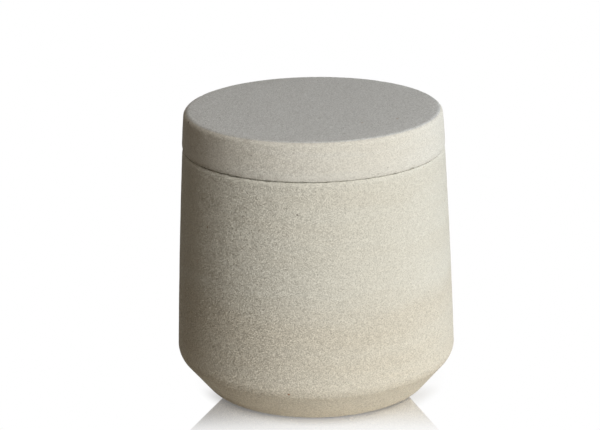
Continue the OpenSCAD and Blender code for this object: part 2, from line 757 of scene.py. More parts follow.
@dataclass(frozen=True)
class Sandstone:
    """Pale fine sandstone. Sizes are in millimetres.

    Attributes:
        name: The material's name.
        pale: Colour of the paler beds.
        tan: Colour of the browner beds.
        top: Colour on the lid's top face, cooler and greyer than the side: painted light, standing
            for the cool light that falls on the top.
        top_level: Height above which that colour shows.
        tan_level: Height at which the stone below turns browner.
        tan_share: How far it turns to the browner colour there.
        band_share: How far single beds differ in colour.
        contrast: How far single grains differ in tone.
        grain: Size of a grain.
        grain_relief: Height of the grains.
        lean: How far the faces of single grains lean.
        mark_relief: Height of the marks that the turning tool left.
        roughness: Roughness of the finish.
        marks: Single marks that stand out on it.
    """

    name: str
    pale: Colour = linear(207, 206, 195)
    tan: Colour = linear(197, 190, 173)
    # Painted light: the top face's cooler, greyer colour stands for the cool light that falls on the
    # top
    top: Colour = linear(198, 200, 198)
    top_level: float = 1000.0
    tan_level: float = 43.0
    tan_share: float = 0.35
    band_share: float = 0.2
    contrast: float = 0.35
    grain: float = 0.24
    grain_relief: float = 0.03
    lean: float = 0.48
    mark_relief: float = 0.0
    roughness: float = 0.88
    marks: tuple[Mark, ...] = ()

    # Thickness of a bed, and how far the beds roll
    BEDS = {"Thickness": 7.0, "Roll": 9.0}
    # Half the height over which the stone turns browner, and over which the top face's painted cooler
    # colour begins
    TAN_FADE, TOP_FADE = 6.0, 0.2
    # How far the contrast of the grains rises in the browner stone, and on the top face
    LOWER_CONTRAST, TOP_CONTRAST = 0.35, 0.5
    # How far single grains differ in colour, and in roughness
    TINT_SWING, ROUGHNESS_SWING = 0.1, 0.2
    # Rusty specks, and dark ones over them
    SPECKS = (
        Specks(4.3, 0.05, 0.16, 0.5, linear(150, 112, 78)),
        Specks(1.7, 0.05, 0.2, 0.6, linear(88, 80, 70)),
    )
    # Strength of the gloss, and the distance between two marks of the turning tool
    SHEEN, TOOL_PITCH = 0.12, 0.9

    def material(self) -> bpy.types.Material:
        """Builds the material.

        Returns:
            The material.
        """
        material, graph, shader, place = new_material(self.name)
        feeds = {"Place": place, "Grain size": self.grain}
        grain = EFFECTS.place(graph, Effect.GRAIN, feeds).outputs
        smoother = graph.math("SUBTRACT", 0.5, grain["Tone"])
        feeds = {
            "Base Color": self._colour(graph, place, grain["Tone"], grain["Tint"]),
            "Roughness": graph.math("MULTIPLY_ADD", smoother, self.ROUGHNESS_SWING, self.roughness),
            "Specular IOR Level": self.SHEEN,
            "Normal": self._normal(graph, place, grain["Relief"]),
        }
        graph.feed(shader, feeds)
        return material

    def _colour(self, graph: Graph, place: Socket, tone: Socket, tint: Socket) -> Socket:
        """Wires the stone's colour: its beds, the painted cooler light on its top face, its grains,
        specks and marks.

        Args:
            graph: The material's graph.
            place: The place on the object in millimetres.
            tone: How pale each grain is.
            tint: How brown each grain is.

        Returns:
            The colour.
        """
        beds = EFFECTS.place(graph, Effect.BEDDING, {"Place": place, **self.BEDS}).outputs
        start, end = self.tan_level + self.TAN_FADE, self.tan_level - self.TAN_FADE
        lower = graph.ramp(beds["Level"], start, end)
        banded = graph.math("MULTIPLY", beds["Band"], self.band_share)
        browner = graph.math("MULTIPLY_ADD", lower, self.tan_share, banded)
        evened = graph.math("SUBTRACT", browner, self.TINT_SWING / 2)
        tinted = graph.math("MULTIPLY_ADD", tint, self.TINT_SWING, evened)
        side = graph.blend(tinted, self.pale, self.tan)
        # Painted light: above the top level the colour turns to the cooler top colour, for the cool
        # light on the top face; the grains there get more contrast
        start, end = self.top_level - self.TOP_FADE, self.top_level + self.TOP_FADE
        top_face = graph.ramp(graph.along(place)["Z"], start, end)
        base = graph.blend(top_face, side, self.top)
        rougher = graph.math("MULTIPLY_ADD", top_face, self.TOP_CONTRAST, 1.0)
        rougher = graph.math("MULTIPLY_ADD", lower, self.LOWER_CONTRAST, rougher)
        stronger = graph.math("MULTIPLY", rougher, self.contrast)
        swing = graph.math("MULTIPLY_ADD", graph.math("SUBTRACT", tone, 0.5), stronger, 1.0)
        colour = graph.blend(1.0, base, swing, "MULTIPLY")
        for spots in (*self.SPECKS, *self.marks):
            colour = spots.over(graph, place, colour)
        return colour

    def _normal(self, graph: Graph, place: Socket, relief: Socket) -> Socket:
        """Wires the normal: the grains' relief, the marks of the turning tool, and leaning facets.

        Args:
            graph: The material's graph.
            place: The place on the object in millimetres.
            relief: The relief of the grains.

        Returns:
            The normal.
        """
        feeds = {"Height": relief, "Distance": self.grain_relief * MM, "Strength": 1.0}
        normal = graph.node("ShaderNodeBump", feeds).outputs["Normal"]
        if self.mark_relief:
            feeds = {"Place": place, "Pitch": self.TOOL_PITCH}
            rings = EFFECTS.place(graph, Effect.TURNING, feeds).outputs["Relief"]
            feeds = {"Height": rings, "Distance": self.mark_relief * MM, "Normal": normal}
            normal = graph.node("ShaderNodeBump", feeds).outputs["Normal"]
        feeds = {"Place": place, "Normal": normal, "Grain size": self.grain, "Lean": self.lean}
        return EFFECTS.place(graph, Effect.FACETS, feeds).outputs["Normal"]


@dataclass(frozen=True)
class SoftPlastic:
    """A moulded soft plastic, such as silicone or polyurethane. Sizes are in millimetres.

    Attributes:
        name: The material's name.
        body: Its own colour.
        dust: Colour of the stone dust on it.
        dust_share: How much of the dust's colour shows where it has settled.
        roughness: Roughness of the clean skin.
        texture: Size of the skin's texture.
        relief: Height of the skin's texture.
        glow: Share of light that goes in and comes out again beside where it fell.
    """

    name: str
    body: Colour
    dust: Colour = linear(214, 210, 198)
    dust_share: float = 0.4
    roughness: float = 0.4
    texture: float = 0.12
    relief: float = 0.01
    glow: float = 0.3

    # How much rougher the skin is under dust
    DUST_ROUGHNESS = 0.3
    # How far light travels inside, and how evenly for red, green and blue
    GLOW_REACH, GLOW_RADIUS = 0.8, (1.0, 1.0, 1.0)

    def material(self) -> bpy.types.Material:
        """Builds the material.

        Returns:
            The material.
        """
        material, graph, shader, place = new_material(self.name)
        feeds = {"Place": place, "Texture size": self.texture}
        skin = EFFECTS.place(graph, Effect.MOULDED, feeds).outputs
        dusty = graph.math("MULTIPLY", skin["Dust"], self.dust_share)
        rough = graph.math("MULTIPLY_ADD", skin["Dust"], self.DUST_ROUGHNESS, self.roughness)
        feeds = {"Height": skin["Relief"], "Distance": self.relief * MM}
        bump = graph.node("ShaderNodeBump", feeds).outputs["Normal"]
        feeds = {
            "Base Color": graph.blend(dusty, self.body, self.dust),
            "Roughness": rough,
            "Subsurface Weight": self.glow,
            "Subsurface Radius": self.GLOW_RADIUS,
            "Subsurface Scale": self.GLOW_REACH * MM,
            "Normal": bump,
        }
        graph.feed(shader, feeds)
        return material


# The pieces


# How far the plain rings of an outline keep from an arris, and from its other corners
ARRIS_ROOM = 0.2 * MM
EDGE_ROOM = 1.5 * MM
# How far crumbs and chips reach to each side of an arris
ARRIS_REACH = 1.1 * MM
# Distance over which unevenness fades in, beside an arris
FADE = 2 * MM
# How far a vertex or a face may lie off the place that it is looked for at
SLACK = 0.001 * MM
FACE_SLACK = 0.05 * MM


def near(value: float, target: float, reach: float) -> float:
    """Gives 1 where a value meets a target, falling to 0 at the reach beside it."""
    return max(0.0, 1 - abs(value - target) / reach)


def clamp(share: float) -> float:
    """Keeps a share from 0 to 1."""
    return min(1.0, max(0.0, share))


def arris_wear(height: float, radius: float) -> list[Relief]:
    """Gives the crumbs and chips along an arris.

    Args:
        height: The height that the arris runs at.
        radius: Its distance from the turning axis.

    Returns:
        The crumbs, then the chips.
    """

    def arris(place: Vector) -> float:
        """Weight of what lies along the arris."""
        return near(place.z, height, ARRIS_REACH) * near(radius_of(place), radius, ARRIS_REACH)

    return [
        Relief("crumbs", lump=0.9 * MM, depth=0.25 * MM, zone=arris, flat_share=0.45),
        Relief("chips", lump=3.2 * MM, depth=0.7 * MM, zone=arris, flat_share=0.62),
    ]


@dataclass(frozen=True)
class Side:
    """The gently swelling side that the jar and the lid share.

    Attributes:
        corner_height: Height of the corner above the chamfer.
        joint_height: Height where the lid meets the jar.
        top_height: Height of the top of the lid.
        corner_radius: Radius at that corner, before it is rounded.
        top_radius: Radius at the top, before its edge is rounded.
        swell: How far the side swells outside a straight line.
        joint_ease: How far both pieces were eased in at the joint.
        ease_reach: How far above and below the joint that begins.
    """

    corner_height: float
    joint_height: float
    top_height: float
    corner_radius: float = 52.5 * MM
    top_radius: float = 47.6 * MM
    swell: float = 0.35 * MM
    joint_ease: float = 0.33 * MM
    ease_reach: float = 2 * MM

    def radius(self, height: float) -> float:
        """Gives the side's radius at a height.

        Args:
            height: The height above the standing surface.

        Returns:
            The radius, before any edge is rounded.
        """
        share = (height - self.corner_height) / (self.top_height - self.corner_height)
        straight = self.corner_radius * (1 - share) + self.top_radius * share
        eased = self.joint_ease * near(height, self.joint_height, self.ease_reach) ** 2
        return straight + 4 * self.swell * share * (1 - share) - eased


def set_stone(piece: Piece, honed: Sandstone, turned: Sandstone, is_turned: Test) -> None:
    """Gives a piece of stone its two finishes.

    Args:
        piece: The piece.
        honed: Finish of its outside.
        turned: Finish of the faces that were left from the lathe.
        is_turned: Says from a face's centre and normal whether it was left from the lathe.
    """
    finishes = {StoneFace.HONED: honed, StoneFace.TURNED: turned}
    for face in StoneFace:
        piece.data.materials.append(finishes[face].material())
    make_active(piece)
    bpy.ops.object.mode_set(mode="EDIT")
    select_faces(piece, is_turned)
    piece.active_material_index = StoneFace.TURNED.value
    bpy.ops.object.material_slot_assign()
    bpy.ops.object.mode_set(mode="OBJECT")


def seat(piece: Piece, body: Body, slot: Slot, *nodes: str) -> None:
    """Lets a finished piece stand for its CAD nodes, on their body.

    Args:
        piece: The finished piece.
        body: The body that it rides on.
        slot: The material slot that it belongs to; not used.
        nodes: The names of the CAD nodes that it replaces.
    """
    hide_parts(*nodes)
    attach(piece, body.value)
    faces = len(piece.data.polygons)
    log.info("%s rides on %s with %d faces", piece.name, body.value, faces)


@dataclass
class StoneJar:
    """The jar: a swelling side over a chamfer, a round well, and recesses for the foot pads.

    Attributes:
        side: The side that it shares with the lid.
        base_height: Height of its underside.
        rim_height: Height of its rim.
        pad_centres: Where the foot pads stand.
        pad_top: Height of the top of a foot pad.
        recess_radius: Radius of the recess that a pad sits in.
        base_radius: Radius of the underside, before its edge is rounded.
        base_rounding: Rounding of that edge.
        corner_rounding: Rounding of the corner above the chamfer.
        arris_rounding: Rounding of the outer edge of the rim.
        rim_drop: How far the rim falls towards that edge.
        rim_fall: How far in from that edge it starts to fall.
        well_radius: Radius of the well.
        floor_height: Height of the well's floor.
        well_rounding: Rounding where the wall of the well meets its floor.
        floor_room: How far the plain rings keep from that corner.
        mouth_rounding: Rounding of the inner edge of the rim.
        ring_step: Distance between two rings on the outside.
        rim_step: The same close below the rim.
        rim_reach: How far below the rim that begins.
        flat_step: The same across the rim.
        inside_step: The same in the well and under the base.
        recess_sides: Sides of the round recess for a pad.
        around: Vertices in one ring.
    """

    side: Side
    base_height: float
    rim_height: float
    pad_centres: list[Vector]
    pad_top: float
    recess_radius: float
    base_radius: float = 41.75 * MM
    base_rounding: float = 2 * MM
    corner_rounding: float = 5.5 * MM
    arris_rounding: float = 0.35 * MM
    rim_drop: float = 0.12 * MM
    rim_fall: float = 3 * MM
    well_radius: float = 39 * MM
    floor_height: float = 10.4 * MM
    well_rounding: float = 6 * MM
    floor_room: float = 6.5 * MM
    mouth_rounding: float = 1 * MM
    ring_step: float = 1.1 * MM
    rim_step: float = 0.4 * MM
    rim_reach: float = 4 * MM
    flat_step: float = 2 * MM
    inside_step: float = 4 * MM
    recess_sides: int = 72
    around: int = 540

    def outline(self) -> list[Ring]:
        """Gives the outline, from the centre of the base round to the centre of the well's floor.

        Returns:
            Its rings in order.
        """
        side, base, floor, rim = self.side, self.base_height, self.floor_height, self.rim_height
        slope_rise = side.corner_height - base
        slope_run = side.corner_radius - self.base_radius
        fine_from = rim - self.rim_reach
        arris_height = rim - self.rim_drop
        arris_radius = side.radius(rim)
        flat_radius = arris_radius - self.rim_fall

        def chamfer(height: float) -> float:
            """Radius of the chamfer at a height."""
            return self.base_radius + slope_run * (height - base) / slope_rise

        def wall(height: float) -> float:
            """Radius of the well at any height of its wall."""
            return self.well_radius

        return [
            Ring(0, base),
            *flat_rings(0, self.base_radius, self.inside_step, base),
            Ring(self.base_radius, base, self.base_rounding),
            *level_rings(base + EDGE_ROOM, side.corner_height - MM, self.ring_step, chamfer),
            Ring(side.corner_radius, side.corner_height, self.corner_rounding, 12),
            *level_rings(side.corner_height + EDGE_ROOM, fine_from, self.ring_step, side.radius),
            *level_rings(fine_from, arris_height - ARRIS_ROOM, self.rim_step, side.radius),
            Ring(arris_radius, arris_height, self.arris_rounding, 6),
            Ring(flat_radius, rim),
            *flat_rings(flat_radius, self.well_radius + EDGE_ROOM, self.flat_step, rim),
            Ring(self.well_radius, rim, self.mouth_rounding, 5),
            *level_rings(rim - MM, floor + self.floor_room, self.inside_step, wall),
            Ring(self.well_radius, floor, self.well_rounding, 8),
            *flat_rings(self.well_radius - self.floor_room, 0, self.inside_step, floor),
            Ring(0, floor),
        ]

    def reliefs(self) -> list[Relief]:
        """Gives the unevenness of the stone: soft waves all over, and chips along its arrises.

        Returns:
            Each kind of unevenness, in the order that it is pressed in.
        """
        rim = self.rim_height
        rim_radius = self.side.radius(rim)

        def outside(place: Vector) -> float:
            """Weight of what lies only on the outside, clear of the rim and the base.

            Args:
                place: A place on the jar.

            Returns:
                The weight, from 0 to 1.
            """
            if radius_of(place) <= self.base_radius - MM:
                return 0.0
            return clamp((rim - place.z) / FADE) * clamp((place.z - self.base_height) / FADE)

        def worn_side(place: Vector) -> float:
            """Weight of wear on the rim's arris: full on the left, none on the right."""
            leftness = clamp(0.35 - 0.9 * place.x / rim_radius) * near(place.z, rim, 1.4 * MM)
            return leftness * near(radius_of(place), rim_radius, 2.5 * MM)

        def base_edge(place: Vector) -> float:
            """Weight of chips along the edge of the base."""
            across = near(radius_of(place), self.base_radius, 2.5 * MM)
            return near(place.z, self.base_height, 2 * MM) * across

        return [
            Relief("waves", lump=9 * MM, depth=0.1 * MM, zone=outside, middle=0.5),
            Relief("grain", lump=1.6 * MM, depth=0.045 * MM, zone=outside, middle=0.5),
            Relief("wear", lump=5 * MM, depth=1 * MM, zone=worn_side),
            *arris_wear(rim, rim_radius),
            Relief("knocks", lump=2.6 * MM, depth=0.5 * MM, zone=base_edge, flat_share=0.6),
        ]

    def cut_recesses(self, piece: Piece) -> None:
        """Cuts a round recess for each foot pad into the base.

        Args:
            piece: The jar.
        """
        depth = self.pad_top - self.base_height
        for centre in self.pad_centres:
            deselect_everything()
            bpy.ops.mesh.primitive_cylinder_add(
                vertices=self.recess_sides,
                radius=self.recess_radius,
                depth=2 * depth,
                location=(centre.x, centre.y, self.base_height),
            )
            cutter = bpy.context.object
            apply_place(cutter)
            make_active(piece)
            bpy.ops.object.modifier_add(type="BOOLEAN")
            cut = piece.modifiers[-1]
            cut.operation = "DIFFERENCE"
            cut.object = cutter
            bpy.ops.object.modifier_apply(modifier=cut.name)
            bpy.data.objects.remove(cutter)

    def make(self, honed: Sandstone, turned: Sandstone) -> None:
        """Builds, dresses and seats the jar.

        Args:
            honed: Finish of its outside.
            turned: Finish of its well and its underside.
        """
        piece = Lathe("stone_jar", self.around).turn(self.outline())
        for relief in self.reliefs():
            relief.press_into(piece)
        self.cut_recesses(piece)

        def is_turned(centre: Vector, normal: Vector) -> bool:
            """Says whether a face belongs to the well, the underside or a recess.

            Args:
                centre: The face's centre.
                normal: The face's normal; not used.

            Returns:
                Whether it does.
            """
            radius = radius_of(centre)
            in_well = radius < self.well_radius + 2 * FACE_SLACK and centre.z > self.floor_height - MM
            under = radius < self.base_radius - MM and centre.z < self.pad_top + FACE_SLACK
            return in_well or under

        set_stone(piece, honed, turned, is_turned)
        finish_shading(piece, STONE_CREASE)
        seat(piece, Body.JAR, Slot.SANDSTONE, "jar_body")


@dataclass
class StoneLid:
    """The lid: a disc that carries on the jar's side, over a plug with a groove for the ring.

    Attributes:
        side: The side that it shares with the jar.
        joint_height: Height where it sits on the jar.
        plug_bottom: Height of the underside of its plug.
        ring_height: Height of the middle of the groove.
        top_rounding: Rounding of the edge round the top.
        top_room: How far the plain rings keep from that edge.
        arris_rounding: Rounding of the outer edge where it sits on the jar.
        bulge: How far it stands out beyond the side that it shares.
        bulge_fade: How far below the top that is full.
        plug_radius: Radius of the plug.
        plug_rounding: Rounding of the plug's lower edge.
        groove_radius: Radius of the floor of the groove.
        groove_height: Height of the groove.
        ring_step: Distance between two rings on the outside.
        seat_step: The same on the face that sits on the jar.
        flat_step: The same on the top and under the plug.
        around: Vertices in one ring.
    """

    side: Side
    joint_height: float
    plug_bottom: float
    ring_height: float
    top_rounding: float = 2.1 * MM
    top_room: float = 3 * MM
    arris_rounding: float = 0.35 * MM
    bulge: float = 0.16 * MM
    bulge_fade: float = 7 * MM
    plug_radius: float = 38.2 * MM
    plug_rounding: float = 1 * MM
    groove_radius: float = 36.45 * MM
    groove_height: float = 2.7 * MM
    ring_step: float = 0.45 * MM
    seat_step: float = 2 * MM
    flat_step: float = 3 * MM
    around: int = 540

    def radius(self, height: float) -> float:
        """Gives the lid's radius at a height: the shared side, and a slight bulge low down."""
        below_top = (self.side.top_height - height) / self.bulge_fade
        return self.side.radius(height) + self.bulge * min(1.0, below_top)

    def outline(self) -> list[Ring]:
        """Gives the outline, from the centre of the plug round to the centre of the top.

        Returns:
            Its rings in order.
        """
        bottom, joint, top = self.plug_bottom, self.joint_height, self.side.top_height
        joint_radius, top_radius = self.radius(joint), self.side.top_radius
        groove_bottom = self.ring_height - self.groove_height / 2
        groove_top = self.ring_height + self.groove_height / 2
        return [
            Ring(0, bottom),
            *flat_rings(0, self.plug_radius - EDGE_ROOM, self.flat_step, bottom),
            Ring(self.plug_radius, bottom, self.plug_rounding, 5),
            Ring(self.plug_radius, groove_bottom),
            Ring(self.groove_radius, groove_bottom),
            Ring(self.groove_radius, groove_top),
            Ring(self.plug_radius, groove_top),
            Ring(self.plug_radius, joint),
            *flat_rings(self.plug_radius, joint_radius - EDGE_ROOM, self.seat_step, joint),
            Ring(joint_radius, joint, self.arris_rounding, 6),
            *level_rings(joint + ARRIS_ROOM, top - self.top_room, self.ring_step, self.radius),
            Ring(top_radius, top, self.top_rounding, 9),
            *flat_rings(top_radius - self.top_room, 0, self.flat_step, top),
            Ring(0, top),
        ]

    def reliefs(self) -> list[Relief]:
        """Gives the unevenness of the stone: soft waves outside, and chips along its arrises.

        Returns:
            Each kind of unevenness, in the order that it is pressed in.
        """
        joint, top = self.joint_height, self.side.top_height

        def outside(place: Vector) -> float:
            """Weight of what lies only on the outside, clear of the joint."""
            return clamp((place.z - joint) / FADE)

        def top_edge(place: Vector) -> float:
            """Weight of knocks along the rounded edge of the top."""
            return near(place.z, top, 3 * MM) * near(radius_of(place), self.side.top_radius, 3 * MM)

        return [
            Relief("waves", lump=9 * MM, depth=0.06 * MM, zone=outside, middle=0.5),
            Relief("grain", lump=1.6 * MM, depth=0.04 * MM, zone=outside, middle=0.5),
            *arris_wear(joint, self.side.radius(joint)),
            Relief("knocks", lump=2.2 * MM, depth=0.4 * MM, zone=top_edge, flat_share=0.62),
        ]

    def make(self, honed: Sandstone, turned: Sandstone) -> None:
        """Builds, dresses and seats the lid.

        Args:
            honed: Finish of its outside.
            turned: Finish of its plug and of the face that sits on the jar.
        """
        piece = Lathe("stone_lid", self.around).turn(self.outline())
        for relief in self.reliefs():
            relief.press_into(piece)

        def is_turned(centre: Vector, normal: Vector) -> bool:
            """Says whether a face belongs to the plug or to the seat round it."""
            seat_edge = self.side.radius(self.joint_height) - MM
            return radius_of(centre) < seat_edge and centre.z < self.joint_height + FACE_SLACK

        set_stone(piece, honed, turned, is_turned)
        finish_shading(piece, STONE_CREASE)
        seat(piece, Body.LID, Slot.SANDSTONE, "lid")


@dataclass
class SealRing:
    """The soft ring round the plug, with the fine line that its mould left outside and inside.

    Attributes:
        low: Lowest corner of the ring's box.
        high: Highest corner of the ring's box.
        around: Sides of the ring.
        facets: Sides of its round section.
        line_width: How far the mould's line reaches to each side of its middle.
        line_height: How far it stands out.
        line_slack: How far off its radius the edges for it are looked for.
    """

    low: Vector
    high: Vector
    around: int = 300
    facets: int = 36
    line_width: float = 0.09 * MM
    line_height: float = 0.025 * MM
    line_slack: float = 0.02 * MM

    def make(self, finish: SoftPlastic) -> None:
        """Builds, dresses and seats the ring.

        Args:
            finish: Its finish.
        """
        thickness = self.high.z - self.low.z
        middle = (self.high.x - self.low.x) / 2 - thickness / 2
        level = (self.high.z + self.low.z) / 2
        deselect_everything()
        bpy.ops.mesh.primitive_torus_add(
            major_segments=self.around,
            minor_segments=self.facets,
            major_radius=middle,
            minor_radius=thickness / 2,
            location=(0, 0, level),
        )
        piece = bpy.context.object
        piece.name = piece.data.name = "seal_ring"
        apply_place(piece)
        bpy.ops.object.mode_set(mode="EDIT")
        for reach in (thickness / 2, -thickness / 2):
            self._raise_line(piece, middle + reach, level, math.copysign(self.line_height, reach))
        bpy.ops.mesh.select_all(action="SELECT")
        bpy.ops.mesh.normals_make_consistent(inside=False)
        bpy.ops.object.mode_set(mode="OBJECT")
        piece.data.materials.append(finish.material())
        finish_shading(piece, STONE_CREASE)
        seat(piece, Body.RING, Slot.SILICONE, "lid_seal_ring")

    def _raise_line(self, piece: Piece, radius: float, level: float, rise: float) -> None:
        """Raises the line that the mould left, along one edge loop of the ring.

        Args:
            piece: The ring, in edit mode.
            radius: Radius of the edge loop.
            level: Height of the edge loop.
            rise: How far the middle of the line is moved outwards.
        """

        def on_line(start: Vector, end: Vector) -> bool:
            """Says whether an edge runs round the ring where its mould parted.

            Args:
                start: One end of the edge.
                end: The other end.

            Returns:
                Whether it does.
            """
            off_level = max(abs(at.z - level) for at in (start, end))
            off_radius = max(abs(radius_of(at) - radius) for at in (start, end))
            return off_level < SLACK and off_radius < self.line_slack

        select_edges(piece, on_line)
        bpy.ops.mesh.bevel(offset_type="OFFSET", offset=self.line_width, segments=2, profile=1.0)
        select_edges(piece, on_line)
        growth = (radius + rise) / radius
        bpy.ops.transform.resize(value=(growth, growth, 1))


@dataclass
class FootPads:
    """The anti-slip pads that are let into the base, each with rings moulded into its sole.

    Attributes:
        centres: Where the pads stand.
        radius: Radius of a pad.
        height: Height of a pad.
        around: Sides of a pad.
        edge_rounding: Rounding of its upper and lower edge.
        rib_width: Width of a raised ring on its sole.
        rib_gap: Width of the floor of the groove between two of them.
        rib_height: Depth of the groove.
        rib_count: Number of grooves.
    """

    centres: list[Vector]
    radius: float
    height: float
    around: int = 96
    edge_rounding: float = 0.3 * MM
    rib_width: float = 0.55 * MM
    rib_gap: float = 0.45 * MM
    rib_height: float = 0.18 * MM
    rib_count: int = 4

    def _model(self) -> Piece:
        """Makes one pad, standing at the origin.

        Returns:
            The pad, not yet dressed.
        """
        deselect_everything()
        bpy.ops.mesh.primitive_cylinder_add(
            vertices=self.around,
            radius=self.radius,
            depth=self.height,
            location=(0, 0, self.height / 2),
        )
        pad = bpy.context.object
        apply_place(pad)
        bpy.ops.object.mode_set(mode="EDIT")

        def lower(start: Vector, end: Vector) -> bool:
            """Says whether an edge runs round the sole."""
            return max(start.z, end.z) < SLACK

        def upper(start: Vector, end: Vector) -> bool:
            """Says whether an edge runs round the top."""
            return min(start.z, end.z) > self.height - SLACK

        for wanted in (lower, upper):
            select_edges(pad, wanted)
            rounding = self.edge_rounding
            bpy.ops.mesh.bevel(offset_type="OFFSET", offset=rounding, segments=4, profile=0.5)
        select_faces(pad, lambda centre, normal: normal.z < -0.99)
        bpy.ops.mesh.inset(thickness=self.rib_gap)
        for _ in range(self.rib_count):
            self._cut_groove()
        bpy.ops.mesh.select_all(action="SELECT")
        bpy.ops.mesh.normals_make_consistent(inside=False)
        bpy.ops.object.mode_set(mode="OBJECT")
        return pad

    def _cut_groove(self) -> None:
        """Sinks one ring-shaped groove into the sole, and leaves the face inside it selected."""
        slope = self.rib_height / 2
        bpy.ops.mesh.inset(thickness=slope, depth=-self.rib_height)
        bpy.ops.mesh.inset(thickness=self.rib_gap)
        bpy.ops.mesh.inset(thickness=slope, depth=self.rib_height)
        bpy.ops.mesh.inset(thickness=self.rib_width)

    def make(self, finish: SoftPlastic) -> None:
        """Builds one pad, copies it to each place, and dresses and seats the copies.

        Args:
            finish: Their finish.
        """
        pad = self._model()
        for number, centre in enumerate(self.centres, start=1):
            piece = bpy.data.objects.new(f"anti_slip_pad_{number}", pad.data.copy())
            bpy.context.collection.objects.link(piece)
            piece.data.name = piece.name
            piece.location = (centre.x, centre.y, 0)
            apply_place(piece)
            piece.data.materials.append(finish.material())
            finish_shading(piece, PAD_CREASE)
            seat(piece, Body.JAR, Slot.FOOT_PAD, f"foot_pad_{number}")
        bpy.data.objects.remove(pad)


# The studio


@dataclass(frozen=True)
class Softbox:
    """A rectangular lamp that faces the jar.

    Attributes:
        name: The lamp's name.
        azimuth: Its turn from the camera's side towards the right, in degrees.
        elevation: Its angle above the jar's middle, in degrees.
        width: Width of its face.
        height: Height of its face.
        radiance: Brightness of its face.
        tint: Colour of its light.
        distance: Its distance from the jar's middle.
    """

    name: str
    azimuth: float
    elevation: float
    width: float
    height: float
    radiance: float
    tint: tuple[float, float, float] = (1.0, 1.0, 1.0)
    distance: float = 0.72

    AIM = Vector((0, 0, 60 * MM))

    def hang(self) -> None:
        """Adds the lamp."""
        turn, rise = math.radians(self.azimuth), math.radians(self.elevation)
        level = math.cos(rise)
        away = Vector((math.sin(turn) * level, -math.cos(turn) * level, math.sin(rise)))
        light = bpy.data.lights.new(self.name, "AREA")
        light.shape = "RECTANGLE"
        light.color = self.tint
        light.size = self.width
        light.size_y = self.height
        light.energy = self.radiance * math.pi * self.width * self.height
        lamp = bpy.data.objects.new(self.name, light)
        lamp.location = self.AIM + away * self.distance
        lamp.rotation_euler = away.to_track_quat("Z", "Y").to_euler()
        lamp.visible_camera = False
        bpy.context.collection.objects.link(lamp)


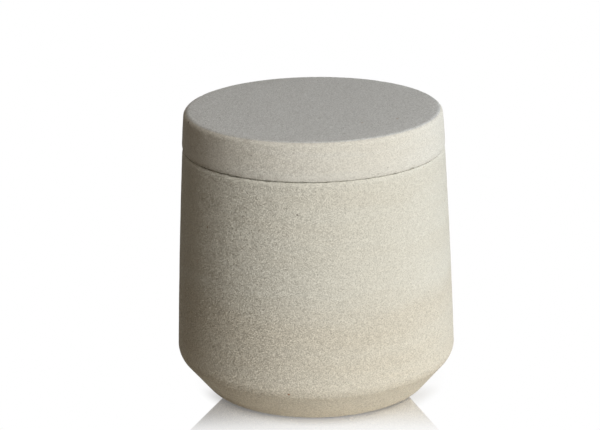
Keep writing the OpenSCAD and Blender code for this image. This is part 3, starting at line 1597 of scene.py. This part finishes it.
@dataclass(frozen=True)
class Studio:
    """The white surroundings: what the camera and gloss see is white, what lights the jar is dim.

    Attributes:
        ambient: Colour of the light that comes from all round, as it is on average.
        brighter_azimuth: Turn from the camera's side to where that light is brightest, in degrees.
        ambient_swing: How far it rises there and falls on the far side, as a share.
        near_bounce: Colour of the light that the floor throws back near the jar.
        far_bounce: Colour of the light that it throws back further off.
        bounce_reach: Radius where one turns into the other.
        bounce_shift: How far the middle of that circle lies to the right of the axis.
        contact: Radius where the jar meets the floor.
        shadow_shift: How far the middle of the jar's shadow lies to the right of the axis.
        reach: How far past the contact the floor shows the jar's shadow.
        shadow_front: Where that shadow sets in and is full, in front of the jar's middle.
        rear_shadow: Share of that shadow that shows beside and behind the jar.
        floor_glow: Brightness of the floor in full shadow.
        floor_grey: Colour of the floor there.
        gloss: Greatest share of the floor's look that its image of the jar makes up.
        gloss_roughness: Roughness of that image.
        image_rise: Where that image sets in and is full, in front of the jar's middle.
        image_fade: Where it has gone again, and where it begins to go.
        image_edge: Half the width of its soft side edges.
        image_half: Half the width of that image, straight under the jar's middle.
        image_spread: How much wider its half gets for each length in front of the middle.
        image_skew: How far its middle moves to the left for each such length.
        floor_size: Length of the square floor.
    """

    ambient: Colour = (0.236, 0.202, 0.169, 1)
    brighter_azimuth: float = 35.0
    ambient_swing: float = 0.6
    near_bounce: Colour = (0.8, 0.73, 0.64, 1)
    far_bounce: Colour = (0.1, 0.08, 0.05, 1)
    bounce_reach: float = 0.095
    bounce_shift: float = 32 * MM
    contact: float = 42 * MM
    shadow_shift: float = 1.5 * MM
    reach: float = 7 * MM
    shadow_front: tuple[float, float] = (6 * MM, 22 * MM)
    rear_shadow: float = 0.15
    floor_glow: float = 0.55
    floor_grey: Colour = (0.3, 0.3, 0.3, 1)
    gloss: float = 0.72
    gloss_roughness: float = 0.03
    image_rise: tuple[float, float] = (12 * MM, 24 * MM)
    image_fade: tuple[float, float] = (61 * MM, 28 * MM)
    image_edge: float = 0.3 * MM
    image_half: float = 27.7 * MM
    image_spread: float = 0.335
    image_skew: float = 0.04
    floor_size: float = 8.0

    def _seen(self, graph: Graph) -> Socket:
        """Gives 1 for rays from the camera, from gloss and through glass, and 0 for the rest.

        Args:
            graph: The graph of the world or of a material.

        Returns:
            The 0 or 1.
        """
        path = graph.node("ShaderNodeLightPath").outputs
        seen = graph.math("MAXIMUM", path["Is Camera Ray"], path["Is Glossy Ray"])
        return graph.math("MAXIMUM", seen, path["Is Transmission Ray"])

    def set_world(self) -> None:
        """Makes the world white to look at and dim to be lit by."""
        world = bpy.data.worlds.new("studio")
        world.use_nodes = True
        bpy.context.scene.world = world
        world.node_tree.nodes.clear()
        graph = Graph(world.node_tree)
        turn = math.radians(self.brighter_azimuth)
        incoming = graph.node("ShaderNodeNewGeometry").outputs["Incoming"]
        feeds = {0: incoming, 1: (-math.sin(turn), math.cos(turn), 0.0)}
        towards = graph.vectors("DOT_PRODUCT", feeds, "Value")
        strength = graph.math("MULTIPLY_ADD", towards, self.ambient_swing, 1.0)
        dim = graph.node("ShaderNodeBackground", {"Color": self.ambient, "Strength": strength})
        white = graph.node("ShaderNodeBackground", {"Color": WHITE, "Strength": 1.0})
        surface = graph.mixed(self._seen(graph), dim.outputs[0], white.outputs[0])
        graph.node("ShaderNodeOutputWorld", {"Surface": surface})

    def _plain_look(self, graph: Graph, place: Socket, front: Socket) -> Socket:
        """Wires what the camera sees of the floor without its image: white, and the jar's shadow,
        partly painted.

        Args:
            graph: The floor's graph.
            place: The place on the floor.
            front: How far the place lies in front of the jar's middle.

        Returns:
            The shader.
        """
        white = graph.node("ShaderNodeEmission", {"Strength": 1.0}).outputs[0]
        glow = graph.node("ShaderNodeEmission", {"Strength": self.floor_glow}).outputs[0]
        matt = graph.node("ShaderNodeBsdfDiffuse", {"Color": self.floor_grey}).outputs[0]
        shadow_look = graph.node("ShaderNodeAddShader", {0: glow, 1: matt}).outputs[0]
        # Painted shadow: by distance alone, round the contact the floor's white glow gives way to a
        # dimmer glow; only the matt part holds the real cast shadow
        radius = graph.distance(place, (self.shadow_shift, 0.0, 0.0))
        shadowed = graph.ramp(radius, self.contact + self.reach, self.contact)
        in_front = graph.math("MAXIMUM", graph.ramp(front, *self.shadow_front), self.rear_shadow)
        beyond = graph.math("SUBTRACT", 1.0, graph.math("MULTIPLY", shadowed, in_front))
        return graph.mixed(beyond, shadow_look, white)

    def _image_share(self, graph: Graph, right: Socket, front: Socket) -> Socket:
        """Wires the share of the floor's look that its image of the jar makes up.

        Args:
            graph: The floor's graph.
            right: How far the place lies to the right of the jar's middle.
            front: How far it lies in front of the jar's middle.

        Returns:
            The share.
        """
        edge = graph.math("MULTIPLY_ADD", front, self.image_spread, self.image_half)
        across = graph.math("MULTIPLY_ADD", front, self.image_skew, right)
        inwards = graph.math("SUBTRACT", edge, graph.math("ABSOLUTE", across))
        inside = graph.ramp(inwards, -self.image_edge, self.image_edge)
        fading = graph.ramp(front, *self.image_fade)
        rising = graph.ramp(front, *self.image_rise)
        seen_image = graph.math("MULTIPLY", graph.math("MULTIPLY", fading, rising), inside)
        return graph.math("MULTIPLY", seen_image, self.gloss)

    def _thrown_light(self, graph: Graph, place: Socket) -> Socket:
        """Wires what the floor throws back at the jar, which no camera sees.

        Args:
            graph: The floor's graph.
            place: The place on the floor.

        Returns:
            The shader.
        """
        apart = graph.distance(place, (self.bounce_shift, 0.0, 0.0))
        far = graph.ramp(apart, self.bounce_reach * 0.7, self.bounce_reach * 1.3)
        thrown = graph.blend(far, self.near_bounce, self.far_bounce)
        return graph.node("ShaderNodeBsdfDiffuse", {"Color": thrown}).outputs[0]

    def _floor_material(self) -> bpy.types.Material:
        """Builds the floor: white far out, and with the jar's partly painted shadow and faint image
        near it.

        Returns:
            The material.
        """
        material = bpy.data.materials.new("studio_floor")
        material.use_nodes = True
        material.node_tree.nodes.clear()
        graph = Graph(material.node_tree)
        place = graph.node("ShaderNodeTexCoord").outputs["Object"]
        parts = graph.along(place)
        front = graph.math("MULTIPLY", parts["Y"], -1.0)
        feeds = {"Color": WHITE, "Roughness": self.gloss_roughness}
        image = graph.node("ShaderNodeBsdfAnisotropic", feeds).outputs[0]
        share = self._image_share(graph, parts["X"], front)
        shown = graph.mixed(share, self._plain_look(graph, place, front), image)
        above = graph.mixed(self._seen(graph), self._thrown_light(graph, place), shown)
        under = graph.node("ShaderNodeNewGeometry").outputs["Backfacing"]
        clear = graph.node("ShaderNodeBsdfTransparent").outputs[0]
        graph.node("ShaderNodeOutputMaterial", {"Surface": graph.mixed(under, above, clear)})
        return material

    def lay_floor(self) -> None:
        """Adds the floor that the jar stands on."""
        deselect_everything()
        bpy.ops.mesh.primitive_plane_add(size=self.floor_size, location=(0, 0, 0))
        floor = bpy.context.object
        floor.name = "studio_floor"
        floor.data.materials.append(self._floor_material())

    def light(self) -> None:
        """Hangs the lamps."""
        lamps = [
            Softbox("key_softbox", 33, 21, width=0.36, height=0.6, radiance=7.0),
            Softbox("side_softbox", 117, 15, width=0.3, height=0.4, radiance=6.5, tint=COOL),
            Softbox("rear_softbox", 180, 3, width=0.4, height=0.2, radiance=7.5),
        ]
        for lamp in lamps:
            lamp.hang()


@dataclass(frozen=True)
class PhotoCamera:
    """The camera at the photograph's place.

    Attributes:
        elevation: Its angle above the target, in degrees.
        roll: Its turn about its own line of sight, in degrees.
        distance: Its distance from the target.
        target: The point at the middle of its picture.
        lens: Focal length in millimetres, on a sensor 36 mm wide.
    """

    elevation: float = 17.953
    roll: float = -0.917
    distance: float = 0.7542
    target: Vector = Vector((-5.403 * MM, 0, 64.81 * MM))
    lens: float = 120.9

    def place(self) -> None:
        """Adds the camera and makes it the scene's own."""
        rise, roll = math.radians(self.elevation), math.radians(self.roll)
        away = Vector((0, -math.cos(rise), math.sin(rise)))
        right = Vector((1, 0, 0))
        upward = Vector((0, math.sin(rise), math.cos(rise)))
        across = right * math.cos(roll) + upward * math.sin(roll)
        upright = upward * math.cos(roll) - right * math.sin(roll)
        turn = Matrix((across, upright, away)).transposed()
        data = bpy.data.cameras.new("photo_camera")
        data.lens = self.lens
        data.sensor_fit = "HORIZONTAL"
        data.sensor_width = 36
        data.clip_start = 10 * MM
        camera = bpy.data.objects.new("photo_camera", data)
        camera.matrix_world = Matrix.Translation(self.target + away * self.distance) @ turn.to_4x4()
        bpy.context.collection.objects.link(camera)
        bpy.context.scene.camera = camera


def centre_of(node: str) -> Vector:
    """Gives the middle of a CAD node's box."""
    low, high = (Vector(corner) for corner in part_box(node))
    return (low + high) / 2


def main() -> None:
    """Builds the jar, the lid, the ring and the pads, and sets up the studio round them."""
    logging.basicConfig(level=logging.INFO, format="%(name)s: %(message)s")
    bpy.context.scene.view_settings.view_transform = "Standard"
    PhotoCamera().place()

    jar_low, jar_high = (Vector(corner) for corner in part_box("jar_body"))
    lid_low, lid_high = (Vector(corner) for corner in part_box("lid"))
    ring_low, ring_high = (Vector(corner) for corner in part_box("lid_seal_ring"))
    pad_low, pad_high = (Vector(corner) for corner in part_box("foot_pad_1"))
    pad_centres = [centre_of(f"foot_pad_{number}") for number in range(1, 5)]
    pad_radius = (pad_high.x - pad_low.x) / 2

    rust_grain = Mark(-11.5, 13.9, 52.2, 0.42, linear(150, 104, 70))
    # Painted shade: dark spots stand for the shade in two small pits, which have no hollow in the
    # mesh
    side_pit_shade = Mark(-7.5, 80.65, 49.24, 0.3, linear(84, 76, 66))
    edge_pit_shade = Mark(-72, 105.65, 47.65, 0.55, linear(60, 55, 48))
    honed = Sandstone("honed_sandstone", marks=(rust_grain, side_pit_shade))
    # The lid's finish paints its top face cooler and greyer, as painted light for the cool light from
    # above
    honed_lid = Sandstone(
        "honed_lid_sandstone",
        pale=linear(211, 210, 201),
        marks=(edge_pit_shade,),
        top_level=lid_high.z / MM - TOP_FACE_DEPTH,
        contrast=0.31,
        lean=0.32,
    )
    turned = Sandstone("turned_sandstone", mark_relief=0.04, roughness=0.92)
    side = Side(jar_low.z + CHAMFER_HEIGHT, jar_high.z, lid_high.z)

    StoneJar(
        side=side,
        base_height=jar_low.z,
        rim_height=jar_high.z,
        pad_centres=pad_centres,
        pad_top=pad_high.z,
        recess_radius=pad_radius + PAD_GAP,
    ).make(honed, turned)
    StoneLid(
        side=side,
        joint_height=jar_high.z,
        plug_bottom=lid_low.z,
        ring_height=(ring_low.z + ring_high.z) / 2,
    ).make(honed_lid, turned)
    SealRing(ring_low, ring_high).make(SoftPlastic("milky_silicone", linear(238, 239, 237)))
    FootPads(pad_centres, pad_radius, pad_high.z).make(
        SoftPlastic("clear_grey_polyurethane", linear(219, 221, 221), roughness=0.3, glow=0.5)
    )

    studio = Studio()
    studio.set_world()
    studio.lay_floor()
    studio.light()


if __name__ == "__main__":
    main()
